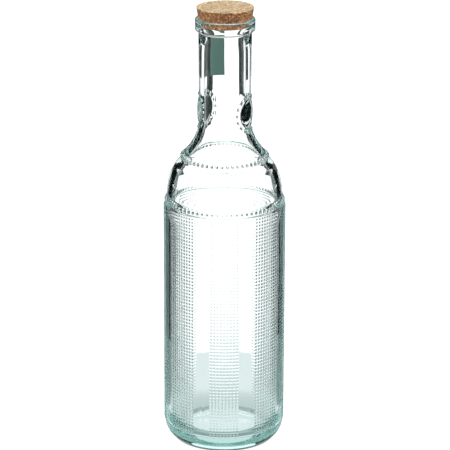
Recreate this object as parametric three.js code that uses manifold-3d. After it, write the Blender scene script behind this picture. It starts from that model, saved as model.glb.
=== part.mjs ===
// A corked bottle of thick recycled glass, empty, standing on its foot.
// Millimetres, +Z up, the origin at the middle of the foot.
// Azimuth 0 is the front (-Y), and positive azimuths turn to the right (+X).

import * as THREE from 'three';
import { mergeVertices } from 'three/addons/utils/BufferGeometryUtils.js';
import Module from 'manifold-3d';

const wasm = await Module();
wasm.setup();

// Driving dimensions of the glass, outside
const BODY_RADIUS = 42.3;
const FOOT_RADIUS = 31.5;
const PUSH_UP_RADIUS = 27;
const PUSH_UP_HEIGHT = 1.5;
const HEEL_HEIGHT = 13;
const BODY_TOP = 174.4;
const LEDGE_SEAT_RADIUS = 41.3;
const LEDGE_CHAMFER = 0.8;
const LEDGE_TOP = 178.2;
const DOME_BOTTOM = 178.6;
const DOME_CENTER_RADIUS = 25.4;
const DOME_REACH = 15.2;
const DOME_RISE = 29.3;
const COLLAR_RADIUS = 29.6;
const COLLAR_BOTTOM = 206.4;
const COLLAR_TOP = 209.8;
const COLLAR_FLARE = 0.9;
const SWEEP_START = [28.6, 210.6];
const SWEEP_CONTROL = [19.2, 220.5];
const NECK_BOTTOM = 232;
const NECK_TOP = 295.6;
const NECK_RADIUS_BOTTOM = 18.1;
const NECK_RADIUS_TOP = 18.4;
const RIM_RADIUS = 20.75;
const RIM_COVE = 1.6;
const RIM_FILLET = 1.2;
const RIM_ROUNDING = 1.6;
const BOTTLE_HEIGHT = 306.2;

// Driving dimensions of the glass, inside
const INNER_RADIUS = 38.3;
const INNER_FLOOR = 9;
const INNER_FLOOR_CROWN = 0.8;
const INNER_CORNER_RADIUS = 10;
const INNER_CORNER_HEIGHT = 14;
const INNER_BODY_TOP = 168;
const WALL_AT_DOME = 4.2;
const INNER_DOME_BOTTOM = 176.2;
const INNER_SWEEP_START = [25.4, 207.4];
const INNER_SWEEP_CONTROL = [15.8, 219];
const BORE_RADIUS = 14.5;
const BORE_TOP = 284;
const MOUTH_CURVE = [15.09, 291.2];
const MOUTH_FLARE = [16.9, 298.5];

// Driving dimensions of the cork
const CORK_TOP = 313.7;
const CORK_BOTTOM = 301;
const CORK_TOP_RADIUS = 19.9;
const CORK_TAPER = 1.3 / 7.5;
const CORK_EDGE = 0.5;
const CORK_GAP = 0.3;

// Relief on the glass
const PANELS = 8;
const DOT_COLUMNS = 9;
const DOT_PITCH = THREE.MathUtils.degToRad(3.2);
const PANEL_BOTTOM = 13.2;
const PANEL_TOP = 173.4;
const FIELD_HEIGHT = 0.12;
const DOT_HEIGHT = 0.6;
const LEDGE_BEAD = { count: 72, radius: LEDGE_SEAT_RADIUS, z: 176.6, width: 1.15, height: 1.6, depth: 1.1 };
const COLLAR_BEAD = { count: 52, radius: COLLAR_RADIUS, z: 208.2, width: 1.15, height: 1.8, depth: 1.25 };
const MEDALLION = {
    azimuths: [THREE.MathUtils.degToRad(68.5), THREE.MathUtils.degToRad(-111.5)],
    z: 240,
    radius: 9.6,
    edge: 0.6,
    dome: 0.85,
    borderRadius: 12.8,
    beads: 16,
    bead: { width: 1.35, height: 1.05, depth: 0.9 },
};

// Depth that relief reaches into the wall, and the number of sides of round shapes
const ROOT_DEPTH = 1;
const OUTER_SIDES = 48;
const INNER_SIDES = 32;
const CORK_SIDES = 48;
const BEAD_SIDES = 5;
const BEAD_RINGS = 3;
const MEDALLION_SIDES = 24;

// Outward direction of an azimuth, and a point on a wall
function outward(azimuth) {
    return new THREE.Vector3(Math.sin(azimuth), -Math.cos(azimuth), 0);
}

function wallPoint(azimuth, radius, z) {
    return outward(azimuth).multiplyScalar(radius).setZ(z);
}

// Part of an ellipse as profile points, with the angle measured from the radial direction
function arc(centerRadius, centerZ, reach, rise, startDegrees, endDegrees, steps) {
    const points = [];
    for (let i = 0; i <= steps; i++) {
        const angle = THREE.MathUtils.degToRad(startDegrees + ((endDegrees - startDegrees) * i) / steps);
        const radius = centerRadius + reach * Math.cos(angle);
        points.push(new THREE.Vector2(radius, centerZ + rise * Math.sin(angle)));
    }
    return points;
}

// Concave sweep between two profile points
function sweep(start, control, end, steps) {
    const curve = new THREE.QuadraticBezierCurve(
        new THREE.Vector2(...start), new THREE.Vector2(...control), new THREE.Vector2(...end));
    return curve.getPoints(steps);
}

function profilePoints(pairs) {
    return pairs.map(([radius, z]) => new THREE.Vector2(radius, z));
}

// A profile turned round the bottle's axis
function turned(points, sides) {
    return new THREE.LatheGeometry(points, sides).rotateX(Math.PI / 2);
}

// A closed geometry as a solid, without the triangles that collapse at a pole
function toSolid(geometry) {
    const bare = geometry.clone();
    bare.deleteAttribute('normal');
    bare.deleteAttribute('uv');
    const merged = mergeVertices(bare);
    const corners = merged.index.array;
    const kept = [];
    for (let i = 0; i < corners.length; i += 3) {
        const [a, b, c] = corners.slice(i, i + 3);
        if (a !== b && b !== c && c !== a) {
            kept.push(a, b, c);
        }
    }
    return new wasm.Manifold(new wasm.Mesh({
        numProp: 3,
        vertProperties: Float32Array.from(merged.attributes.position.array),
        triVerts: Uint32Array.from(kept),
    }));
}

function toGeometry(solid) {
    const mesh = solid.getMesh();
    const geometry = new THREE.BufferGeometry();
    geometry.setAttribute('position', new THREE.BufferAttribute(Float32Array.from(mesh.vertProperties), 3));
    geometry.setIndex(new THREE.BufferAttribute(Uint32Array.from(mesh.triVerts), 1));
    geometry.computeVertexNormals();
    return geometry;
}

// Cork radius at a height, which the seat in the mouth follows
function corkRadius(z) {
    return CORK_TOP_RADIUS - CORK_TAPER * (CORK_TOP - z);
}

// Outside of the glass, from the push-up under the foot to the rim
function outerProfile() {
    const rimBottom = NECK_TOP + RIM_COVE;
    const rimTop = BOTTLE_HEIGHT - RIM_ROUNDING;
    return [
        ...profilePoints([
            [0, PUSH_UP_HEIGHT],
            [PUSH_UP_RADIUS / 2, 0.75 * PUSH_UP_HEIGHT],
            [PUSH_UP_RADIUS, 0],
        ]),
        ...arc(FOOT_RADIUS, HEEL_HEIGHT, BODY_RADIUS - FOOT_RADIUS, HEEL_HEIGHT, -90, 0, 6),
        ...profilePoints([
            [BODY_RADIUS, BODY_TOP],
            [LEDGE_SEAT_RADIUS, BODY_TOP + LEDGE_CHAMFER],
            [LEDGE_SEAT_RADIUS, LEDGE_TOP],
        ]),
        ...arc(DOME_CENTER_RADIUS, DOME_BOTTOM, DOME_REACH, DOME_RISE, 2, 62, 7),
        ...profilePoints([[COLLAR_RADIUS + COLLAR_FLARE, COLLAR_BOTTOM], [COLLAR_RADIUS, COLLAR_TOP]]),
        ...sweep(SWEEP_START, SWEEP_CONTROL, [NECK_RADIUS_BOTTOM, NECK_BOTTOM], 6),
        ...profilePoints([[NECK_RADIUS_TOP, NECK_TOP]]),
        ...arc(RIM_RADIUS - RIM_FILLET, rimBottom + RIM_FILLET, RIM_FILLET, RIM_FILLET, -75, 0, 2),
        ...arc(RIM_RADIUS - RIM_ROUNDING, rimTop, RIM_ROUNDING, RIM_ROUNDING, 0, 90, 3),
        ...profilePoints([[0, BOTTLE_HEIGHT]]),
    ];
}

// Inside of the glass, from the thick floor to the conical seat, carried on past the rim
function innerProfile() {
    const floorEdge = INNER_RADIUS - INNER_CORNER_RADIUS;
    const cornerTop = INNER_FLOOR + INNER_CORNER_HEIGHT;
    const seatBottom = CORK_BOTTOM - CORK_GAP;
    const pastRim = BOTTLE_HEIGHT + 2;
    const domeReach = DOME_REACH - WALL_AT_DOME;
    return [
        ...profilePoints([[0, INNER_FLOOR + INNER_FLOOR_CROWN]]),
        ...arc(floorEdge, cornerTop, INNER_CORNER_RADIUS, INNER_CORNER_HEIGHT, -90, 0, 5),
        ...profilePoints([[INNER_RADIUS, INNER_BODY_TOP]]),
        ...arc(DOME_CENTER_RADIUS, INNER_DOME_BOTTOM, domeReach, DOME_RISE - WALL_AT_DOME, 8, 66, 5),
        ...sweep(INNER_SWEEP_START, INNER_SWEEP_CONTROL, [BORE_RADIUS, NECK_BOTTOM], 4),
        ...profilePoints([
            [BORE_RADIUS, BORE_TOP],
            MOUTH_CURVE,
            MOUTH_FLARE,
            [corkRadius(seatBottom) + CORK_GAP, seatBottom],
            [corkRadius(pastRim) + CORK_GAP, pastRim],
            [0, pastRim],
        ]),
    ];
}

// An oval bead half sunk in the wall, with its pole facing out and turned by roll about it
function beadSolid(azimuth, radius, z, size, roll = 0) {
    const place = wallPoint(azimuth, radius, z);
    const geometry = new THREE.SphereGeometry(1, BEAD_SIDES, BEAD_RINGS)
        .scale(size.width, size.depth, size.height)
        .rotateY(roll)
        .rotateZ(azimuth + Math.PI)
        .translate(place.x, place.y, place.z);
    return toSolid(geometry);
}

function beadRing(ring) {
    const beads = [];
    for (let i = 0; i < ring.count; i++) {
        const azimuth = (2 * Math.PI * (i + 0.5)) / ring.count;
        beads.push(beadSolid(azimuth, ring.radius, ring.z, ring));
    }
    return beads;
}

// A field of dots on the body, with each column of dots as one low rib
function dotPanel(azimuth) {
    const halfWidth = (DOT_COLUMNS * DOT_PITCH) / 2;
    const outline = [];
    for (let i = 0; i <= 2 * DOT_COLUMNS; i++) {
        const height = i % 2 === 1 ? DOT_HEIGHT : FIELD_HEIGHT;
        outline.push(wallPoint(azimuth - halfWidth + (i * DOT_PITCH) / 2, BODY_RADIUS + height, 0));
    }
    for (let i = DOT_COLUMNS; i >= 0; i -= DOT_COLUMNS) {
        outline.push(wallPoint(azimuth - halfWidth + i * DOT_PITCH, BODY_RADIUS - ROOT_DEPTH, 0));
    }
    const shape = new THREE.Shape(outline.map((point) => new THREE.Vector2(point.x, point.y)));
    const length = PANEL_TOP - PANEL_BOTTOM;
    const geometry = new THREE.ExtrudeGeometry(shape, { depth: length, bevelEnabled: false });
    return toSolid(geometry.translate(0, 0, PANEL_BOTTOM));
}

function neckRadius(z) {
    const share = (z - NECK_BOTTOM) / (NECK_TOP - NECK_BOTTOM);
    return NECK_RADIUS_BOTTOM + share * (NECK_RADIUS_TOP - NECK_RADIUS_BOTTOM);
}

// A low domed disc bent round the neck
function medallionDisc(azimuth) {
    const top = MEDALLION.edge + MEDALLION.dome;
    const flat = new THREE.LatheGeometry(profilePoints([
        [0, -ROOT_DEPTH],
        [MEDALLION.radius, -ROOT_DEPTH],
        [MEDALLION.radius, MEDALLION.edge],
        [0.8 * MEDALLION.radius, MEDALLION.edge + 0.36 * MEDALLION.dome],
        [0.45 * MEDALLION.radius, MEDALLION.edge + 0.8 * MEDALLION.dome],
        [0, top],
    ]), MEDALLION_SIDES);
    const places = flat.attributes.position;
    const radius = neckRadius(MEDALLION.z);
    for (let i = 0; i < places.count; i++) {
        const across = places.getX(i);
        const height = places.getY(i);
        const up = places.getZ(i);
        const point = wallPoint(azimuth - across / radius, radius + height, MEDALLION.z + up);
        places.setXYZ(i, point.x, point.y, point.z);
    }
    return toSolid(flat);
}

// The ring of beads round a medallion, each one lying along the ring
function medallionBorder(azimuth) {
    const radius = neckRadius(MEDALLION.z);
    const beads = [];
    for (let i = 0; i < MEDALLION.beads; i++) {
        const angle = (2 * Math.PI * i) / MEDALLION.beads;
        const across = MEDALLION.borderRadius * Math.sin(angle);
        const z = MEDALLION.z + MEDALLION.borderRadius * Math.cos(angle);
        const seat = Math.max(radius, outerRadius(z));
        beads.push(beadSolid(azimuth + across / radius, seat, z, MEDALLION.bead, -angle));
    }
    return beads;
}

// Radius of the outside at a height on the neck or the shoulder
function outerRadius(z) {
    const points = outerProfile();
    const above = points.findIndex((point, i) => i > 0 && points[i - 1].y <= z && point.y > z);
    const [low, high] = [points[above - 1], points[above]];
    return low.x + ((high.x - low.x) * (z - low.y)) / (high.y - low.y);
}

function glassSolid() {
    let solid = toSolid(turned(outerProfile(), OUTER_SIDES));
    const relief = [...beadRing(LEDGE_BEAD), ...beadRing(COLLAR_BEAD)];
    for (let i = 0; i < PANELS; i++) {
        relief.push(dotPanel((2 * Math.PI * i) / PANELS));
    }
    for (const azimuth of MEDALLION.azimuths) {
        relief.push(medallionDisc(azimuth), ...medallionBorder(azimuth));
    }
    for (const piece of relief) {
        solid = solid.add(piece);
    }
    return solid.subtract(toSolid(turned(innerProfile(), INNER_SIDES)));
}

// The cork: a tapered plug with broken edges
function corkGeometry() {
    const points = profilePoints([
        [0, CORK_BOTTOM],
        [corkRadius(CORK_BOTTOM) - CORK_EDGE, CORK_BOTTOM],
        [corkRadius(CORK_BOTTOM + CORK_EDGE), CORK_BOTTOM + CORK_EDGE],
        [corkRadius(CORK_TOP - CORK_EDGE), CORK_TOP - CORK_EDGE],
        [CORK_TOP_RADIUS - CORK_EDGE, CORK_TOP],
        [0, CORK_TOP],
    ]);
    return turned(points, CORK_SIDES);
}

const glassMaterial = new THREE.MeshStandardMaterial({
    color: 0xc4ddd8, roughness: 0.05, metalness: 0, transparent: true, opacity: 0.4,
});
const corkMaterial = new THREE.MeshStandardMaterial({ color: 0xb98a62, roughness: 0.9, metalness: 0 });

const bottle = new THREE.Mesh(toGeometry(glassSolid()), glassMaterial);
bottle.name = 'glass_bottle';

const cork = new THREE.Mesh(corkGeometry(), corkMaterial);
cork.name = 'cork_stopper';

const group = new THREE.Group();
group.add(bottle, cork);

export default group;
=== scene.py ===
"""A corked bottle of thick pale green recycled glass, empty, in metres.

The glass is one closed mesh with its outside, its inside and all its moulded relief. The cork is another.
Azimuth 0 is the front (-Y), and positive azimuths turn to the right (+X).
"""

import math
from bisect import bisect_right

import bpy
from mathutils import Matrix, Vector, noise


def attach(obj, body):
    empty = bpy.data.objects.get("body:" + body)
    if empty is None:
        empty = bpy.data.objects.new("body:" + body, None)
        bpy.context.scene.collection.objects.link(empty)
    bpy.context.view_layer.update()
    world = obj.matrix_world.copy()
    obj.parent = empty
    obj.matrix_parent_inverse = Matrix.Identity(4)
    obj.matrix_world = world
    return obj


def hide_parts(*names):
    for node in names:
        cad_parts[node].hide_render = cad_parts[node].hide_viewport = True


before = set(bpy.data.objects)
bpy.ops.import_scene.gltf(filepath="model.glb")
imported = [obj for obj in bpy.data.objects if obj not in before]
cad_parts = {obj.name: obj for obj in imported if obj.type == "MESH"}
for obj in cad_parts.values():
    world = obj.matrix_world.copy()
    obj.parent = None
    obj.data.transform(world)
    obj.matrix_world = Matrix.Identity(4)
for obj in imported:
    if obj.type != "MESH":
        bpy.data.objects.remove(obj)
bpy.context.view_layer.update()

# Outside of the glass
BODY_RADIUS = 0.0423
FOOT_RADIUS = 0.0315
PUSH_UP_RADIUS = 0.027
PUSH_UP_HEIGHT = 0.0015
PUSH_UP_RINGS = (0.008, 0.016, 0.022, 0.0255)
FOOT_MIDDLE = 0.0292
HEEL_HEIGHT = 0.013
BODY_TOP = 0.1744
LEDGE_EDGE = 0.0006
LEDGE_SEAT_RADIUS = 0.0413
LEDGE_SEAT = (0.1749, 0.1783)
DOME_CENTER_RADIUS = 0.0254
DOME_BOTTOM = 0.1786
DOME_REACH = 0.0152
DOME_RISE = 0.0293
DOME_ARC = (1, 62)
COLLAR = ((0.0305, 0.2064), (0.0296, 0.2099))
SWEEP_START = (0.0286, 0.2106)
SWEEP_CONTROL = (0.0192, 0.2205)
NECK_BOTTOM = 0.232
NECK_TOP = 0.2956
NECK_RADIUS_BOTTOM = 0.0181
NECK_RADIUS_TOP = 0.0184
RIM_RADIUS = 0.02075
RIM_BOTTOM = 0.2972
RIM_COVE = (0.0016, 0.0015)
RIM_FILLET = 0.0012
RIM_ROUNDING = 0.0014
BOTTLE_HEIGHT = 0.3062

# Inside of the glass
INNER_RADIUS = 0.0383
INNER_FLOOR = 0.009
INNER_FLOOR_CROWN = 0.0008
INNER_CORNER = (0.010, 0.014)
INNER_BODY_TOP = 0.168
WALL_AT_DOME = 0.0042
INNER_DOME_BOTTOM = 0.1762
INNER_DOME_ARC = (66, 8)
INNER_SWEEP_START = (0.0254, 0.2074)
INNER_SWEEP_CONTROL = (0.0158, 0.219)
BORE_RADIUS = 0.0145
BORE_TOP = 0.284
FLARE = (0.0169, 0.2985)
SEAT_HEIGHTS = (0.3040, 0.3022)
SEAT_TOP_GAP = 0.0003
FLOOR_RINGS = (0.85, 0.7, 0.55, 0.4, 0.25, 0.12)

# Unevenness of the inside: height, waves round the bottle, length along it, and where it fades out
WAVE_HEIGHT = 0.00012
WAVE_TURNS = 2.2
WAVE_LENGTH = 0.045
WAVE_FADE_HEIGHT = 0.03
WAVE_FADE_RADIUS = 0.02

# Cork
CORK_TOP = 0.3137
CORK_BOTTOM = 0.3010
CORK_TOP_RADIUS = 0.0199
CORK_TAPER = 1.3 / 7.5
CORK_GAP = 0.0003
CORK_EDGE = 0.0004
CORK_BOTTOM_RING = 0.4
CORK_SIDE_DEPTH = 0.00022
CORK_TOP_DEPTH = 0.0001
GRAIN_SIZE = 0.0016
GRAIN_EDGE = 0.25
EDGE_SHARE = 0.35
PIT_SIZE = 0.0011
PIT_OFFSET = Vector((7, 3, 5))
PIT_LEVEL = 0.42
PIT_SHARE = 1.6

# Relief
PANELS = 8
DOT_COLUMNS = 9
DOT_PITCH = math.radians(3.2)
PANEL_SPAN = (0.0130, 0.1734)
DOT_ROWS = 67
DOT = {"half_width": 0.00105, "half_height": 0.00072, "height": 0.0006}
LEDGE_BEADS = 72
LEDGE_BEAD = {"half_width": 0.00115, "half_height": 0.0015, "height": 0.0011}
COLLAR_BEADS = 52
COLLAR_BEAD = {"half_width": 0.00115, "half_height": 0.00155, "height": 0.00115}
MEDALLION_AZIMUTHS = (math.radians(68.5), math.radians(-111.5))
MEDALLION_Z = 0.240
MEDALLION_RADIUS = 0.0096
MEDALLION_EDGE = 0.0006
MEDALLION_DOME = 0.00085
MEDALLION_BORDER = (0.0110, 0.0146)
MEDALLION_FOOT = 0.0101
MEDALLION_SHOULDER = 0.0093
MEDALLION_RINGS = (0.0085, 0.0070, 0.0048, 0.0024)
BORDER_MARGIN = 0.0007
BORDER_BEADS = 16
BORDER_BEAD = {"half_width": 0.00135, "half_height": 0.0011, "height": 0.0009}
PATCH_HALF_ANGLE = math.radians(54)
PATCH_HALF_HEIGHT = 0.0165
SEAM_AZIMUTHS = (math.radians(-21.5), math.radians(158.5))
SEAM_WIDTH = 0.00035
SEAM_HEIGHT = 0.00005

# Boards that show only in and through the glass: name, distance, lowest and highest point, and where they
# start and end, in degrees past a middle azimuth. Past the back, that is to the left as the photo shows it.
CLOSE = 0.12
NEAR = 0.225
BOARDS = (
    ("low_left", NEAR, 0.0, 0.115, 20, 45),
    ("low_right", NEAR, 0.0, 0.115, -45, -20),
    ("shoulder_left", NEAR, 0.115, 0.175, 26, 45),
    ("shoulder_right", NEAR, 0.115, 0.175, -45, -26),
    ("dome_left", CLOSE, 0.165, 0.185, 33, 48),
    ("sweep_left", CLOSE, 0.185, 0.198, 24, 47),
    ("neck_left", CLOSE, 0.198, 0.2235, 11, 60),
    ("neck_left_upper", CLOSE, 0.2235, 0.2356, 11, 24),
    ("dome_right", CLOSE, 0.165, 0.185, -48, -33),
    ("neck_right", CLOSE, 0.185, 0.2235, -47, -24),
    ("neck_right_upper", CLOSE, 0.2235, 0.262, -27, -13),
    ("top_left", CLOSE, 0.2356, 0.268, 15, 43),
    ("top_right", CLOSE, 0.262, 0.29, -47, -12),
)
PATCH = ("patch", CLOSE, 0.2356, 0.268, 0.5, 15)
RIGHT = 90
BACK = 180
LEFT = 270
BOARD_STEP = 4

# Shaded parts of the floor: nearest and farthest radius, and start and end past a middle azimuth
WEDGE = (0.085, 0.3, 21, 69)
WEDGE_STEPS = 14

# Surroundings: radii, heights, and brightness with the distance from the bottle's axis
FLOOR_RADIUS = 4.0
FLOOR_Z = -0.0002
CONTACT_Z = -0.00015
TABLE_Z = -0.0001
WEDGE_Z = -0.00005
HOOD_RADIUS = 0.5
HOOD_HEIGHTS = (0.165, 0.62)
ROOM_RADIUS = 0.3
TABLE_RADIUS = 0.165
# The table's glow is painted light: bright under the bottle and farther out, with a dark ring of painted
# contact shadow just outside the foot and painted shade beyond it
TABLE_GLOW = (
    (0.0, (0.80, 0.88, 0.90)), (0.027, (0.80, 0.88, 0.90)), (0.031, (0.28, 0.36, 0.35)),
    (0.036, (0.28, 0.36, 0.35)), (0.041, (0.56, 0.64, 0.63)), (0.055, (0.60, 0.68, 0.67)),
    (0.075, (0.80, 0.88, 0.88)), (TABLE_RADIUS, (0.80, 0.87, 0.87)),
)
CONTACT_RADIUS = 0.0362
CONTACT_GLOW = (
    (0.0, (0.03, 0.075, 0.07)), (0.0336, (0.03, 0.075, 0.07)), (0.0352, (0.5, 0.6, 0.6)),
    (CONTACT_RADIUS, (1.2, 1.2, 1.2)),
)
HOOD_GLOW = (1.0, 0.98, 0.97)
ROOM_GLOW = (0.02, 0.045, 0.04)
WEDGE_GLOW = (0.20, 0.27, 0.26)
BLACK = (0.0, 0.0, 0.0)
FLOOR_COLOR = (0.82, 0.82, 0.82)
BOARD_COLOR = (0.002, 0.004, 0.004)
PATCH_COLOR = (0.055, 0.100, 0.085)
WORLD_STRENGTH = 1.6

# Camera, as fitted to the photo
LENS = 200.0
SENSOR_WIDTH = 36.0
CAMERA_PLACE = (0.00035, -1.6707, 0.6996)
CAMERA_TILT = 72.0
CAMERA_ROLL = 0.2

# Colours of the cork's grains by their share, and of its flecks: darker on the side as painted shade, paler
# on the top as painted light from above
CORK_SHADED_SIDE_BROWNS = (
    (0.0, (0.09, 0.034, 0.012)), (0.35, (0.165, 0.066, 0.024)),
    (0.7, (0.25, 0.112, 0.044)), (1.0, (0.44, 0.245, 0.11)),
)
CORK_SHADED_SIDE_FLECKS = (0.010, 0.005, 0.004)
CORK_LIT_TOP_BROWNS = (
    (0.0, (0.25, 0.155, 0.072)), (0.4, (0.40, 0.285, 0.15)),
    (0.75, (0.48, 0.35, 0.195)), (1.0, (0.66, 0.52, 0.33)),
)
CORK_LIT_TOP_FLECKS = (0.15, 0.08, 0.035)

# Numbers of sides and rows of the mesh
DOME_SIDES = 120
NECK_SIDES = 120
RIM_SIDES = 96
INNER_SIDES = 96
DOT_SIDES = 6
DOT_RINGS = (1.0, 0.62)
STRIP_CELLS = 5
MEDALLION_SIDES = 32
PATCH_ROWS = 12
PATCH_MARGINS = (0.0005, 0.0015)
CORK_SIDES = 128
CORK_ROWS = 26
CORK_TOP_RINGS = 22
DISC_SIDES = 96
FULL_TURN = 2 * math.pi


def arc(center, reach, rise, start, end, steps):
    """Points of part of an ellipse, with the angles in degrees from the radial direction."""
    points = []
    for i in range(steps + 1):
        angle = math.radians(start + (end - start) * i / steps)
        points.append((center[0] + reach * math.cos(angle), center[1] + rise * math.sin(angle)))
    return points


def sweep(start, control, end, steps):
    """Points of the curve from start to end that leaves and arrives towards control."""
    points = []
    for i in range(steps + 1):
        t = i / steps
        parts = ((1 - t) ** 2, 2 * t * (1 - t), t * t)
        points.append(tuple(parts[0] * start[k] + parts[1] * control[k] + parts[2] * end[k] for k in (0, 1)))
    return points


def foot_profile():
    """From near the middle of the push-up, under the foot and up the heel."""
    push_up = [(r, PUSH_UP_HEIGHT * (1 - (r / PUSH_UP_RADIUS) ** 2)) for r in PUSH_UP_RINGS]
    foot = [(PUSH_UP_RADIUS, 0.0), (FOOT_MIDDLE, 0.0)]
    heel = arc((FOOT_RADIUS, HEEL_HEIGHT), BODY_RADIUS - FOOT_RADIUS, HEEL_HEIGHT, -90, 0, 9)
    return push_up + foot + heel[:-1]


def ledge_profile():
    edge = arc((BODY_RADIUS - LEDGE_EDGE, BODY_TOP - LEDGE_EDGE), LEDGE_EDGE, LEDGE_EDGE, 0, 80, 3)
    return [(BODY_RADIUS, PANEL_SPAN[1])] + edge


def dome_profile():
    return arc((DOME_CENTER_RADIUS, DOME_BOTTOM), DOME_REACH, DOME_RISE, *DOME_ARC, 14)


def neck_profile():
    curve = sweep(SWEEP_START, SWEEP_CONTROL, (NECK_RADIUS_BOTTOM, NECK_BOTTOM), 12)
    steps = 16
    rise = (NECK_TOP - NECK_BOTTOM) / steps
    widening = (NECK_RADIUS_TOP - NECK_RADIUS_BOTTOM) / steps
    straight = [(NECK_RADIUS_BOTTOM + widening * i, NECK_BOTTOM + rise * i) for i in range(1, steps + 1)]
    return curve + straight


def rim_profile():
    cove = arc((NECK_RADIUS_TOP + RIM_COVE[0], NECK_TOP), *RIM_COVE, 170, 90, 3)[:-1]
    fillet_center = (RIM_RADIUS - RIM_FILLET, RIM_BOTTOM + RIM_FILLET)
    fillet = arc(fillet_center, RIM_FILLET, RIM_FILLET, -80, 0, 4)
    rounding_center = (RIM_RADIUS - RIM_ROUNDING, BOTTLE_HEIGHT - RIM_ROUNDING)
    rounding = arc(rounding_center, RIM_ROUNDING, RIM_ROUNDING, 0, 90, 6)
    return cove + fillet + rounding


def cork_radius(z):
    return CORK_TOP_RADIUS - CORK_TAPER * (CORK_TOP - z)


def inner_profile():
    """Inside of the glass, from the mouth's edge down to the floor."""
    seat_bottom = CORK_BOTTOM - CORK_GAP
    edge = BOTTLE_HEIGHT - SEAT_TOP_GAP
    seat = [(cork_radius(z) + CORK_GAP, z) for z in (edge, *SEAT_HEIGHTS, seat_bottom)]
    flare_steps = 8
    narrowing = []
    for i in range(flare_steps, 0, -1):
        share = i / flare_steps
        radius = BORE_RADIUS + (FLARE[0] - BORE_RADIUS) * share ** 2
        narrowing.append((radius, BORE_TOP + (FLARE[1] - BORE_TOP) * share))
    bore = [(BORE_RADIUS, BORE_TOP + (NECK_BOTTOM - BORE_TOP) * i / 14) for i in range(14)]
    curve = sweep(INNER_SWEEP_START, INNER_SWEEP_CONTROL, (BORE_RADIUS, NECK_BOTTOM), 8)[::-1]
    reach = DOME_REACH - WALL_AT_DOME
    rise = DOME_RISE - WALL_AT_DOME
    dome = arc((DOME_CENTER_RADIUS, INNER_DOME_BOTTOM), reach, rise, *INNER_DOME_ARC, 10)
    corner_top = INNER_FLOOR + INNER_CORNER[1]
    body = [(INNER_RADIUS, INNER_BODY_TOP + (corner_top - INNER_BODY_TOP) * i / 32) for i in range(32)]
    corner_center = (INNER_RADIUS - INNER_CORNER[0], corner_top)
    corner = arc(corner_center, INNER_CORNER[0], INNER_CORNER[1], 0, -90, 8)
    floor = []
    for share in FLOOR_RINGS:
        floor.append((corner_center[0] * share, INNER_FLOOR + INNER_FLOOR_CROWN * (1 - share * share)))
    return seat + narrowing + bore + curve + dome + body + corner + floor


class Outline:
    """Radius and slope of the outside at any height above the heel."""

    def __init__(self, points):
        self.points = sorted(points, key=lambda point: point[1])
        self.heights = [point[1] for point in self.points]

    def at(self, z):
        k = min(max(bisect_right(self.heights, z), 1), len(self.points) - 1)
        (r0, z0), (r1, z1) = self.points[k - 1], self.points[k]
        share = (z - z0) / (z1 - z0)
        length = math.hypot(r1 - r0, z1 - z0)
        return r0 + (r1 - r0) * share, ((z1 - z0) / length, (r0 - r1) / length)


def turn_gap(angle, other):
    """Smallest turn between two azimuths."""
    return abs((angle - other + math.pi) % FULL_TURN - math.pi)


def seam_height(azimuth, radius):
    """Height of the mould seam's fine ridge over the wall."""
    nearest = min(turn_gap(azimuth, seam) for seam in SEAM_AZIMUTHS)
    return SEAM_HEIGHT * max(0.0, 1 - nearest * radius / SEAM_WIDTH)


def with_seams(angles, radius):
    """The azimuths of a ring, with those next to a seam replaced by three that carry its ridge."""
    width = SEAM_WIDTH / radius
    kept = [a for a in angles if all(turn_gap(a, seam) > 2 * width for seam in SEAM_AZIMUTHS)]
    for seam in SEAM_AZIMUTHS:
        kept += [(seam + step * width) % FULL_TURN for step in (-1, 0, 1)]
    return sorted(kept)


def even_angles(sides, start=0.0):
    return sorted((start + FULL_TURN * i / sides) % FULL_TURN for i in range(sides))


def body_angles():
    """Columns of the body: cells of one dot across the panels, and plain ones in the strips between."""
    sector = FULL_TURN / PANELS
    half = DOT_COLUMNS * DOT_PITCH / 2
    strip = (sector - 2 * half) / STRIP_CELLS
    angles = []
    for panel in range(PANELS):
        center = panel * sector
        angles += [center - half + DOT_PITCH * i for i in range(DOT_COLUMNS + 1)]
        angles += [center + half + strip * i for i in range(1, STRIP_CELLS)]
    return with_seams([a % FULL_TURN for a in angles], BODY_RADIUS)


def in_panel(azimuth):
    """True if a cell with this middle azimuth carries dots."""
    sector = FULL_TURN / PANELS
    from_center = abs((azimuth + sector / 2) % sector - sector / 2)
    return from_center < DOT_COLUMNS * DOT_PITCH / 2


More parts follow.
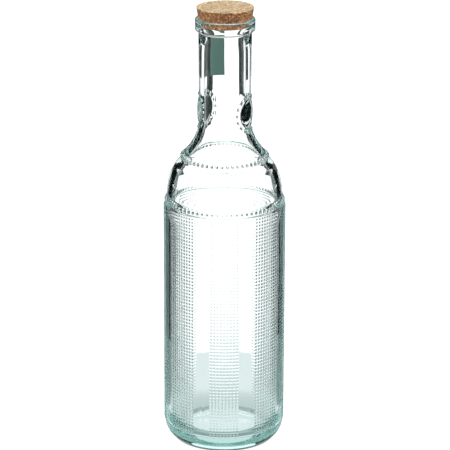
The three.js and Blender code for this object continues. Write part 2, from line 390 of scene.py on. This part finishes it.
class Skin:
    """Vertices and faces of one closed surface. A loop is a list of (angle, vertex), sorted by angle."""

    def __init__(self):
        self.points = []
        self.faces = []

    def add(self, point):
        self.points.append(point)
        return len(self.points) - 1

    def add_round(self, azimuth, radius, z):
        return self.add((radius * math.sin(azimuth), -radius * math.cos(azimuth), z))

    def ring(self, radius, z, angles, seams=False):
        loop = []
        for angle in angles:
            extra = seam_height(angle, radius) if seams else 0.0
            loop.append((angle, self.add_round(angle, radius + extra, z)))
        return loop

    def stitch(self, low, high):
        """Joins two loops with faces, each loop going round once. Seen from outside, high is above low."""

        def next_angle(loop, k):
            if k >= len(loop):
                return math.inf
            return loop[(k + 1) % len(loop)][0] + FULL_TURN * ((k + 1) // len(loop))

        i, j = 0, 0
        while i < len(low) or j < len(high):
            next_low, next_high = next_angle(low, i), next_angle(high, j)
            here, there = low[i % len(low)][1], high[j % len(high)][1]
            after, beyond = low[(i + 1) % len(low)][1], high[(j + 1) % len(high)][1]
            if abs(next_low - next_high) < 1e-6:
                self.faces.append((here, after, beyond, there))
                i, j = i + 1, j + 1
            elif next_low < next_high:
                self.faces.append((here, after, there))
                i += 1
            else:
                self.faces.append((here, beyond, there))
                j += 1

    def fan(self, loop, tip):
        """Closes a loop with triangles to one vertex, which lies above the loop seen from outside."""
        for k, (_, here) in enumerate(loop):
            self.faces.append((here, loop[(k + 1) % len(loop)][1], tip))

    def bump(self, corners, place, size, roll=0.0):
        """An oval dome in the middle of a cell. corners is a loop, and place(across, up, height) a point."""
        self.stitch(corners, self.dome(place, size, roll))

    def dome(self, place, size, roll):
        """Makes the dome's faces and returns the loop at its foot."""
        loops = []
        for reach in DOT_RINGS:
            loop = []
            for k in range(DOT_SIDES):
                turn = FULL_TURN * k / DOT_SIDES
                across = size["half_width"] * reach * math.cos(turn)
                up = size["half_height"] * reach * math.sin(turn)
                point = place(
                    across * math.cos(roll) - up * math.sin(roll),
                    across * math.sin(roll) + up * math.cos(roll),
                    size["height"] * (1 - reach * reach),
                )
                loop.append(((turn + roll) % FULL_TURN, self.add(point)))
            loops.append(sorted(loop))
        self.stitch(loops[0], loops[1])
        self.fan(loops[1], self.add(place(0.0, 0.0, size["height"])))
        return loops[0]

    def mesh(self, name):
        used = sorted({vertex for face in self.faces for vertex in face})
        place = {vertex: k for k, vertex in enumerate(used)}
        faces = [tuple(place[vertex] for vertex in face) for face in self.faces]
        data = bpy.data.meshes.new(name)
        data.from_pydata([self.points[vertex] for vertex in used], [], faces)
        data.shade_smooth()
        data.update()
        return data


def placer(outline, azimuth, z):
    """A function that gives the point across, up and above a place on the outside of the glass."""
    radius = outline.at(z)[0]

    def place(across, up, height):
        here, (out, rise) = outline.at(z + up)
        angle = azimuth + across / radius
        reach = here + out * height
        return reach * math.sin(angle), -reach * math.cos(angle), z + up + rise * height

    return place


def cell_corners(low, high, k, azimuth, z, mid_radius, points):
    """The four corners of cell k as a loop, by their angle about the cell's middle."""
    loop = []
    after = (k + 1) % len(low)
    for ring, column in ((low, k), (low, after), (high, after), (high, k)):
        angle, vertex = ring[column]
        across = ((angle - azimuth + math.pi) % FULL_TURN - math.pi) * mid_radius
        up = points[vertex][2] - z
        loop.append((math.atan2(up, across) % FULL_TURN, vertex))
    return sorted(loop)


def bead_row(skin, outline, low, high, size, carries=lambda azimuth: True):
    """A row of cells between two rings with the same columns, with a bead in each cell that carries one."""
    z = (skin.points[low[0][1]][2] + skin.points[high[0][1]][2]) / 2
    radius = outline.at(z)[0]
    for k, (angle, vertex) in enumerate(low):
        after = (k + 1) % len(low)
        width = (low[after][0] - angle) % FULL_TURN
        middle = angle + width / 2
        if carries(middle):
            corners = cell_corners(low, high, k, middle, z, radius, skin.points)
            skin.bump(corners, placer(outline, middle, z), size)
        else:
            skin.faces.append((vertex, low[after][1], high[after][1], high[k][1]))


def stack(skin, last, profile, angles, seams=False):
    """Rings along a profile, each joined to the one before. Returns the last ring."""
    for radius, z in profile:
        ring = skin.ring(radius, z, angles, seams)
        skin.stitch(last, ring)
        last = ring
    return last


def medallion(skin, outline, azimuth, boundary):
    """A domed disc with a border of beads, filling the hole in the neck that boundary goes round."""
    place = placer(outline, azimuth, MEDALLION_Z)

    def loop_at(radius, sides, height, start=0.0):
        loop = []
        for k in range(sides):
            turn = (start + FULL_TURN * k / sides) % FULL_TURN
            point = place(radius * math.cos(turn), radius * math.sin(turn), height)
            loop.append((turn, skin.add(point)))
        return sorted(loop)

    half_step = math.pi / BORDER_BEADS
    outer = loop_at(MEDALLION_BORDER[1], BORDER_BEADS, 0.0, half_step)
    inner = loop_at(MEDALLION_BORDER[0], BORDER_BEADS, 0.0, half_step)
    fine = loop_at(MEDALLION_BORDER[1] + BORDER_MARGIN, 4 * BORDER_BEADS, 0.0)
    skin.stitch(boundary, fine)
    skin.stitch(fine, outer)
    border_radius = sum(MEDALLION_BORDER) / 2
    for k in range(BORDER_BEADS):
        turn = FULL_TURN * k / BORDER_BEADS
        across = border_radius * math.cos(turn)
        up = border_radius * math.sin(turn)
        corners = []
        for ring, radius, column in (
            (outer, MEDALLION_BORDER[1], k - 1), (outer, MEDALLION_BORDER[1], k),
            (inner, MEDALLION_BORDER[0], k), (inner, MEDALLION_BORDER[0], k - 1),
        ):
            corner_turn = half_step + FULL_TURN * column / BORDER_BEADS
            offset = (radius * math.cos(corner_turn) - across, radius * math.sin(corner_turn) - up)
            angle = math.atan2(offset[1], offset[0]) % FULL_TURN
            corners.append((angle, ring[column % BORDER_BEADS][1]))
        middle = azimuth + across / outline.at(MEDALLION_Z)[0]
        bead_place = placer(outline, middle, MEDALLION_Z + up)
        skin.bump(sorted(corners), bead_place, BORDER_BEAD, turn + math.pi / 2)
    disc = [
        (MEDALLION_FOOT, 0.0),
        (MEDALLION_RADIUS, 0.75 * MEDALLION_EDGE),
        (MEDALLION_SHOULDER, MEDALLION_EDGE),
    ]
    for radius in MEDALLION_RINGS:
        share = radius / MEDALLION_RADIUS
        disc.append((radius, MEDALLION_EDGE + MEDALLION_DOME * (1 - share * share)))
    last = inner
    for radius, height in disc:
        ring = loop_at(radius, MEDALLION_SIDES, height)
        skin.stitch(last, ring)
        last = ring
    skin.fan(last, skin.add(place(0.0, 0.0, MEDALLION_EDGE + MEDALLION_DOME)))


def neck(skin, outline, last):
    """Sweep and neck, with a hole on each side that a medallion fills. Returns the last ring."""
    step = FULL_TURN / NECK_SIDES
    start = MEDALLION_AZIMUTHS[0] % step
    angles = with_seams(even_angles(NECK_SIDES, start), NECK_RADIUS_BOTTOM)
    patch_low = MEDALLION_Z - PATCH_HALF_HEIGHT
    patch_high = MEDALLION_Z + PATCH_HALF_HEIGHT
    below, above = patch_low - PATCH_MARGINS[0], patch_high + PATCH_MARGINS[1]
    levels = [z for _, z in neck_profile() if z < below or z > above]
    levels += [patch_low + (patch_high - patch_low) * i / PATCH_ROWS for i in range(PATCH_ROWS + 1)]
    rings = [skin.ring(outline.at(z)[0], z, angles, True) for z in sorted(levels)]
    heights = sorted(levels)
    skin.stitch(last, rings[0])

    def hole(azimuth, z):
        return patch_low < z < patch_high and any(
            turn_gap(azimuth, middle) < PATCH_HALF_ANGLE for middle in MEDALLION_AZIMUTHS
        )

    for row in range(len(rings) - 1):
        low, high = rings[row], rings[row + 1]
        middle_z = (heights[row] + heights[row + 1]) / 2
        for k, (angle, vertex) in enumerate(low):
            after = (k + 1) % len(low)
            middle = angle + ((low[after][0] - angle) % FULL_TURN) / 2
            if not hole(middle, middle_z):
                skin.faces.append((vertex, low[after][1], high[after][1], high[k][1]))
    radius = outline.at(MEDALLION_Z)[0]
    for azimuth in MEDALLION_AZIMUTHS:
        boundary = {}
        for row, z in enumerate(heights):
            if not patch_low - 1e-6 < z < patch_high + 1e-6:
                continue
            edge_row = abs(abs(z - MEDALLION_Z) - PATCH_HALF_HEIGHT) < 1e-6
            for angle, vertex in rings[row]:
                gap = (angle - azimuth + math.pi) % FULL_TURN - math.pi
                edge_column = abs(abs(gap) - PATCH_HALF_ANGLE) < 1e-6
                if edge_column or (edge_row and abs(gap) < PATCH_HALF_ANGLE):
                    boundary[vertex] = math.atan2(z - MEDALLION_Z, gap * radius) % FULL_TURN
        medallion(skin, outline, azimuth, sorted((turn, vertex) for vertex, turn in boundary.items()))
    return rings[-1]


def wave(azimuth, z, share):
    """Slight unevenness of the blown inside, none near the mouth."""
    here = Vector((WAVE_TURNS * math.sin(azimuth), WAVE_TURNS * math.cos(azimuth), z / WAVE_LENGTH))
    return WAVE_HEIGHT * share * noise.noise(here)


def inside(skin, last):
    """The inside of the glass, from the rim down to the floor."""
    angles = even_angles(INNER_SIDES)
    for radius, z in inner_profile():
        below_mouth = min(1.0, max(0.0, (BORE_TOP - z) / WAVE_FADE_HEIGHT))
        share = below_mouth * min(1.0, radius / WAVE_FADE_RADIUS)
        loop = []
        for angle in angles:
            loop.append((angle, skin.add_round(angle, radius + wave(angle, z, share), z)))
        skin.stitch(last, loop)
        last = loop
    skin.fan(last, skin.add((0.0, 0.0, INNER_FLOOR + INNER_FLOOR_CROWN)))


def make_glass():
    skin = Skin()
    outline = Outline(
        [(BODY_RADIUS, HEEL_HEIGHT)] + ledge_profile()
        + [(LEDGE_SEAT_RADIUS, LEDGE_SEAT[0]), (LEDGE_SEAT_RADIUS, LEDGE_SEAT[1])]
        + dome_profile() + list(COLLAR) + neck_profile() + rim_profile()
    )
    columns = body_angles()
    foot = foot_profile()
    last = skin.ring(*foot[0], columns)
    center = skin.add((0.0, 0.0, PUSH_UP_HEIGHT))
    for k, (_, vertex) in enumerate(last):
        skin.faces.append((vertex, center, last[(k + 1) % len(last)][1]))
    last = stack(skin, last, foot[1:], columns)
    for row in range(DOT_ROWS + 1):
        z = PANEL_SPAN[0] + (PANEL_SPAN[1] - PANEL_SPAN[0]) * row / DOT_ROWS
        ring = skin.ring(BODY_RADIUS, z, columns, True)
        if row == 0:
            skin.stitch(last, ring)
        else:
            bead_row(skin, outline, last, ring, DOT, in_panel)
        last = ring
    last = stack(skin, last, ledge_profile()[1:], columns, True)
    bead_columns = even_angles(LEDGE_BEADS)
    last = stack(skin, last, [(LEDGE_SEAT_RADIUS, LEDGE_SEAT[0])], bead_columns)
    ring = skin.ring(LEDGE_SEAT_RADIUS, LEDGE_SEAT[1], bead_columns)
    bead_row(skin, outline, last, ring, LEDGE_BEAD)
    last = stack(skin, ring, dome_profile(), with_seams(even_angles(DOME_SIDES), DOME_CENTER_RADIUS), True)
    bead_columns = even_angles(COLLAR_BEADS)
    last = stack(skin, last, [COLLAR[0]], bead_columns)
    ring = skin.ring(*COLLAR[1], bead_columns)
    bead_row(skin, outline, last, ring, COLLAR_BEAD)
    last = neck(skin, outline, ring)
    last = stack(skin, last, rim_profile(), even_angles(RIM_SIDES))
    inside(skin, last)
    return skin.mesh("bottle_glass")


def grain_height(point, depth):
    """Relief of the pressed cork: shallow grain edges and a few deeper pits."""
    distances = noise.voronoi(point / GRAIN_SIZE, distance_metric="DISTANCE")[0]
    edge = max(0.0, GRAIN_EDGE - (distances[1] - distances[0])) / GRAIN_EDGE
    pit = max(0.0, noise.noise(point / PIT_SIZE + PIT_OFFSET) - PIT_LEVEL) / (1 - PIT_LEVEL)
    return -depth * (EDGE_SHARE * edge + PIT_SHARE * pit)


def make_cork():
    """The tapered plug, with grains and pits in its side and its top."""
    skin = Skin()
    angles = even_angles(CORK_SIDES)

    def cork_ring(radius, z, outward, up, depth):
        loop = []
        for angle in angles:
            point = Vector((radius * math.sin(angle), -radius * math.cos(angle), z))
            height = grain_height(point, depth)
            loop.append((angle, skin.add_round(angle, radius + outward * height, z + up * height)))
        return loop

    bottom = cork_radius(CORK_BOTTOM)
    last = skin.ring(CORK_BOTTOM_RING * bottom, CORK_BOTTOM, angles)
    center = skin.add((0.0, 0.0, CORK_BOTTOM))
    for k, (_, vertex) in enumerate(last):
        skin.faces.append((vertex, center, last[(k + 1) % len(last)][1]))
    last = stack(skin, last, [(bottom - CORK_EDGE, CORK_BOTTOM)], angles)
    low, high = CORK_BOTTOM + CORK_EDGE, CORK_TOP - CORK_EDGE
    for row in range(CORK_ROWS + 1):
        z = low + (high - low) * row / CORK_ROWS
        ring = cork_ring(cork_radius(z), z, 1.0, 0.0, CORK_SIDE_DEPTH)
        skin.stitch(last, ring)
        last = ring
    top_radius = CORK_TOP_RADIUS - CORK_EDGE
    for step in range(CORK_TOP_RINGS):
        radius = top_radius * (1 - step / CORK_TOP_RINGS)
        ring = cork_ring(radius, CORK_TOP, 0.0, 1.0, CORK_TOP_DEPTH)
        skin.stitch(last, ring)
        last = ring
    skin.fan(last, skin.add((0.0, 0.0, CORK_TOP)))
    return skin.mesh("cork_plug")


def new_material(name):
    material = bpy.data.materials.new(name)
    material.use_nodes = True
    tree = material.node_tree
    return material, tree, tree.nodes["Principled BSDF"], tree.nodes["Material Output"]


def noise_node(tree, scale, detail, coords):
    node = tree.nodes.new("ShaderNodeTexNoise")
    node.inputs["Scale"].default_value = scale
    node.inputs["Detail"].default_value = detail
    tree.links.new(coords, node.inputs["Vector"])
    return node


def ramp_node(tree, factor, stops):
    node = tree.nodes.new("ShaderNodeValToRGB")
    elements = node.color_ramp.elements
    while len(elements) < len(stops):
        elements.new(0.5)
    for element, (position, color) in zip(elements, stops):
        element.position = position
        element.color = (*color, 1.0)
    tree.links.new(factor, node.inputs["Fac"])
    return node


def glass_material():
    """Clear green glass that darkens with its depth, with the faint ripple of a moulded surface."""
    material, tree, shader, output = new_material("recycled_glass")
    coords = tree.nodes.new("ShaderNodeTexCoord").outputs["Object"]
    shader.inputs["Transmission Weight"].default_value = 1.0
    shader.inputs["IOR"].default_value = 1.5
    shader.inputs["Specular Tint"].default_value = (0.15, 0.24, 0.22, 1.0)
    tint = ramp_node(tree, noise_node(tree, 30.0, 2.0, coords).outputs["Fac"], (
        (0.3, (0.975, 0.990, 0.985)), (0.7, (0.990, 1.0, 0.998)),
    ))
    tree.links.new(tint.outputs["Color"], shader.inputs["Base Color"])
    gloss = tree.nodes.new("ShaderNodeMapRange")
    gloss.inputs["To Min"].default_value = 0.0
    gloss.inputs["To Max"].default_value = 0.02
    tree.links.new(noise_node(tree, 55.0, 3.0, coords).outputs["Fac"], gloss.inputs["Value"])
    tree.links.new(gloss.outputs["Result"], shader.inputs["Roughness"])
    bump = tree.nodes.new("ShaderNodeBump")
    bump.inputs["Strength"].default_value = 0.25
    bump.inputs["Distance"].default_value = 0.00008
    tree.links.new(noise_node(tree, 70.0, 1.0, coords).outputs["Fac"], bump.inputs["Height"])
    tree.links.new(bump.outputs["Normal"], shader.inputs["Normal"])
    depth = tree.nodes.new("ShaderNodeVolumeAbsorption")
    depth.inputs["Color"].default_value = (0.30, 0.745, 0.70, 1.0)
    depth.inputs["Density"].default_value = 10.5
    tree.links.new(depth.outputs["Volume"], output.inputs["Volume"])
    return material


def cork_material(name, browns, fleck_color):
    """Pressed cork grains of several browns, with dark flecks and pits."""
    material, tree, shader, _ = new_material(name)
    coords = tree.nodes.new("ShaderNodeTexCoord").outputs["Object"]
    grains = tree.nodes.new("ShaderNodeTexVoronoi")
    grains.inputs["Scale"].default_value = 900.0
    tree.links.new(coords, grains.inputs["Vector"])
    split = tree.nodes.new("ShaderNodeSeparateColor")
    tree.links.new(grains.outputs["Color"], split.inputs["Color"])
    grain_color = ramp_node(tree, split.outputs["Red"], browns)
    flecks = noise_node(tree, 900.0, 3.0, coords)
    fleck_mask = tree.nodes.new("ShaderNodeMapRange")
    fleck_mask.inputs["From Min"].default_value = 0.56
    fleck_mask.inputs["From Max"].default_value = 0.70
    tree.links.new(flecks.outputs["Fac"], fleck_mask.inputs["Value"])
    mix = tree.nodes.new("ShaderNodeMix")
    mix.data_type = "RGBA"
    tree.links.new(fleck_mask.outputs["Result"], mix.inputs["Factor"])
    tree.links.new(grain_color.outputs["Color"], mix.inputs["A"])
    mix.inputs["B"].default_value = (*fleck_color, 1.0)
    tree.links.new(mix.outputs["Result"], shader.inputs["Base Color"])
    shader.inputs["Roughness"].default_value = 0.85
    shader.inputs["Specular IOR Level"].default_value = 0.25
    bump = tree.nodes.new("ShaderNodeBump")
    bump.inputs["Strength"].default_value = 0.5
    bump.inputs["Distance"].default_value = 0.0003
    tree.links.new(flecks.outputs["Fac"], bump.inputs["Height"])
    tree.links.new(bump.outputs["Normal"], shader.inputs["Normal"])
    return material


def add_piece(mesh, node, materials):
    piece = bpy.data.objects.new(mesh.name, mesh)
    bpy.context.collection.objects.link(piece)
    for material in materials:
        mesh.materials.append(material)
    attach(piece, "root")
    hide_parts(node)
    return piece


def plain_material(name, color, glow=None):
    """A matt colour for a stage piece, with light of its own if a glow is given."""
    material, tree, shader, _ = new_material(name)
    if glow:
        shader.inputs["Emission Color"].default_value = (*glow, 1.0)
        shader.inputs["Emission Strength"].default_value = 1.0
    shader.inputs["Base Color"].default_value = (*color, 1.0)
    shader.inputs["Roughness"].default_value = 1.0
    shader.inputs["Specular IOR Level"].default_value = 0.0
    return material


def stage_only(piece):
    """Hides a stage piece from everything but the glass."""
    piece.visible_camera = False
    piece.visible_diffuse = False
    piece.visible_shadow = False


def add_sheet(name, points, faces, material):
    data = bpy.data.meshes.new(name)
    data.from_pydata(points, [], faces)
    data.materials.append(material)
    piece = bpy.data.objects.new(name, data)
    bpy.context.collection.objects.link(piece)
    return piece


def add_board(middle, board, material):
    """An upright board on a circle round the bottle, from start to end past the middle azimuth."""
    name, distance, low, high, start, end = board
    steps = max(2, int((end - start) / BOARD_STEP))
    points = []
    for step in range(steps + 1):
        azimuth = math.radians(middle + start + (end - start) * step / steps)
        for z in (low, high):
            points.append((distance * math.sin(azimuth), -distance * math.cos(azimuth), z))
    faces = [(2 * k, 2 * k + 2, 2 * k + 3, 2 * k + 1) for k in range(steps)]
    piece = add_sheet(f"{name}_{middle}", points, faces, material)
    stage_only(piece)
    return piece


def add_wedge(middle, low, high, start, end, material):
    """Part of a ring just above the floor, from radius low to high."""
    points = []
    for step in range(WEDGE_STEPS + 1):
        azimuth = math.radians(middle + start + (end - start) * step / WEDGE_STEPS)
        for radius in (low, high):
            points.append((radius * math.sin(azimuth), -radius * math.cos(azimuth), WEDGE_Z))
    faces = [(2 * k, 2 * k + 1, 2 * k + 3, 2 * k + 2) for k in range(WEDGE_STEPS)]
    stage_only(add_sheet(f"wedge_{middle}", points, faces, material))


def add_disc(name, radius, z, material):
    points = [(0.0, 0.0, z)]
    for angle in even_angles(DISC_SIDES):
        points.append((radius * math.sin(angle), radius * math.cos(angle), z))
    faces = [(0, k + 1, (k + 1) % DISC_SIDES + 1) for k in range(DISC_SIDES)]
    return add_sheet(name, points, faces, material)


def glow_material(name, stops):
    """Light that changes with the distance from the bottle's axis. stops are (distance, colour)."""
    material = bpy.data.materials.new(name)
    material.use_nodes = True
    tree = material.node_tree
    tree.nodes.clear()
    output = tree.nodes.new("ShaderNodeOutputMaterial")
    glow = tree.nodes.new("ShaderNodeEmission")
    tree.links.new(glow.outputs["Emission"], output.inputs["Surface"])
    coords = tree.nodes.new("ShaderNodeTexCoord").outputs["Object"]
    length = tree.nodes.new("ShaderNodeVectorMath")
    length.operation = "LENGTH"
    tree.links.new(coords, length.inputs[0])
    reach = stops[-1][0]
    share = tree.nodes.new("ShaderNodeMath")
    share.operation = "DIVIDE"
    share.inputs[1].default_value = reach
    tree.links.new(length.outputs["Value"], share.inputs[0])
    ramp = ramp_node(tree, share.outputs["Value"], [(distance / reach, color) for distance, color in stops])
    tree.links.new(ramp.outputs["Color"], glow.inputs["Color"])
    return material


def make_boards():
    """Dark boards behind the bottle, and shade on the floor.

    Each dark board stands twice: at the back, and a quarter turn away beyond the boards of the other side.
    """
    dark = plain_material("dark_board", BOARD_COLOR)
    shade = plain_material("floor_shade", BLACK, WEDGE_GLOW)
    grey_green = plain_material("green_board", PATCH_COLOR)
    for board in BOARDS:
        add_board(BACK, board, dark)
        add_board(RIGHT if board[-1] > 0 else LEFT, board, dark)
    add_board(BACK, PATCH, grey_green)
    for middle in (RIGHT, BACK):
        add_wedge(middle, *WEDGE, shade)


def make_surroundings():
    """A glowing table under the glass, with painted shade round the foot, a pale hood over it, and a dim
    room that shows only as reflections.
    """
    table = add_disc("table", TABLE_RADIUS, TABLE_Z, glow_material("table_painted_shade", TABLE_GLOW))
    stage_only(table)
    hood = plain_material("grey_hood", BLACK, HOOD_GLOW)
    add_board(0, ("hood", HOOD_RADIUS, *HOOD_HEIGHTS, 0, 360), hood)
    stage_only(add_disc("hood_top", HOOD_RADIUS, HOOD_HEIGHTS[1], hood))
    dim = plain_material("dim_room", BLACK, ROOM_GLOW)
    room = add_board(0, ("dim_room", ROOM_RADIUS, 0.0, HOOD_HEIGHTS[1], 0, 360), dim)
    room.visible_transmission = False


def make_floor():
    """Pale floor, with a thin dark line where the foot touches it."""
    floor = add_disc("floor", FLOOR_RADIUS, FLOOR_Z, plain_material("pale_floor", FLOOR_COLOR))
    line = glow_material("contact_shadow", CONTACT_GLOW)
    contact = add_disc("contact_shadow", CONTACT_RADIUS, CONTACT_Z, line)
    contact.visible_diffuse = False
    contact.visible_shadow = False


def make_world():
    world = bpy.data.worlds.new("studio")
    bpy.context.scene.world = world
    world.use_nodes = True
    background = world.node_tree.nodes["Background"]
    background.inputs["Color"].default_value = (1.0, 1.0, 1.0, 1.0)
    background.inputs["Strength"].default_value = WORLD_STRENGTH


def make_camera():
    data = bpy.data.cameras.new("camera")
    data.lens = LENS
    data.sensor_width = SENSOR_WIDTH
    data.clip_end = 50.0
    camera = bpy.data.objects.new("camera", data)
    bpy.context.collection.objects.link(camera)
    camera.location = CAMERA_PLACE
    tilt = Matrix.Rotation(math.radians(CAMERA_TILT), 3, "X")
    roll = Matrix.Rotation(math.radians(CAMERA_ROLL), 3, "Z")
    camera.rotation_euler = (tilt @ roll).to_euler()
    bpy.context.scene.camera = camera


def set_light_paths():
    scene = bpy.context.scene
    scene.cycles.max_bounces = 32
    scene.cycles.transmission_bounces = 32
    scene.cycles.glossy_bounces = 16
    scene.view_settings.view_transform = "Standard"


def make_bottle():
    """The glass, which lets the light through to the floor without a shadow, as in the photo."""
    glass = add_piece(make_glass(), "glass_bottle", [glass_material()])
    glass.visible_diffuse = False
    glass.visible_shadow = False


def make_stopper():
    """The cork, whose top has a paler material than its side: painted light on the top and painted shade on
    the side.
    """
    side = cork_material("cork_side_painted_shade", CORK_SHADED_SIDE_BROWNS, CORK_SHADED_SIDE_FLECKS)
    top = cork_material("cork_top_painted_light", CORK_LIT_TOP_BROWNS, CORK_LIT_TOP_FLECKS)
    cork = add_piece(make_cork(), "cork_stopper", [side, top])
    # Painted light: faces that look up take the paler top material, and all others take the darker side one
    # as painted shade
    for face in cork.data.polygons:
        face.material_index = 1 if face.normal.z > 0.5 else 0


make_floor()
make_surroundings()
make_boards()
make_world()
make_camera()
set_light_paths()
make_bottle()
make_stopper()
